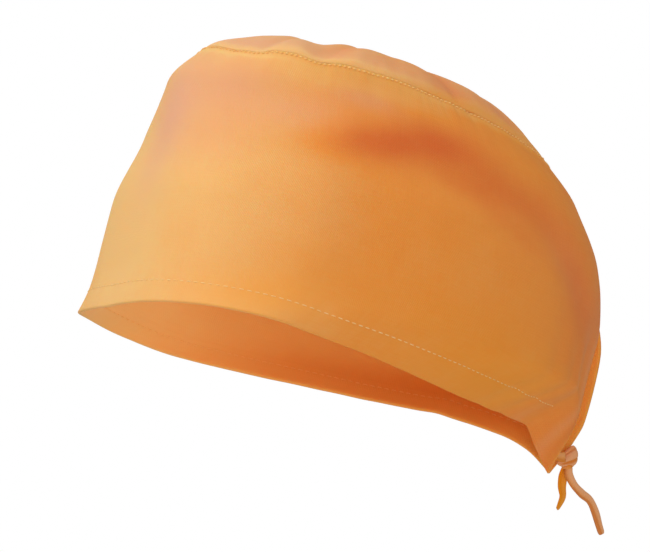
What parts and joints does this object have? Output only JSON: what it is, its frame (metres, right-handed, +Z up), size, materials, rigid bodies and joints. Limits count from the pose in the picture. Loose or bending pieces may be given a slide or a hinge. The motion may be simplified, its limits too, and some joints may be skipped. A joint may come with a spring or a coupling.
{
  "type": "medical cap",
  "caption": "Soft cotton scrub cap with a tall side band, a domed oval crown and an open back drawn in by a knotted tie.",
  "frame": {"origin": "middle of the head opening, on the plane of the rim", "axes": "+Z up as worn, -Y towards the front, +X towards the wearer's left; the rim's plane leans 14.5 degrees, back down"},
  "size_m": [0.1544, 0.2436, 0.2141],
  "materials": {
    "cotton_band": "plain woven cotton, matt",
    "cotton_crown": "plain woven cotton, matt",
    "cotton_tie": "folded cotton tape, matt"
  },
  "bodies": {
    "root": {"side_band": "cotton_band", "crown_panel": "cotton_crown", "tie_near": "cotton_tie", "tie_far": "cotton_tie", "tie_knot": "cotton_tie", "tie_tail_long": "cotton_tie", "tie_tail_short": "cotton_tie"}
  },
  "joints": []
}
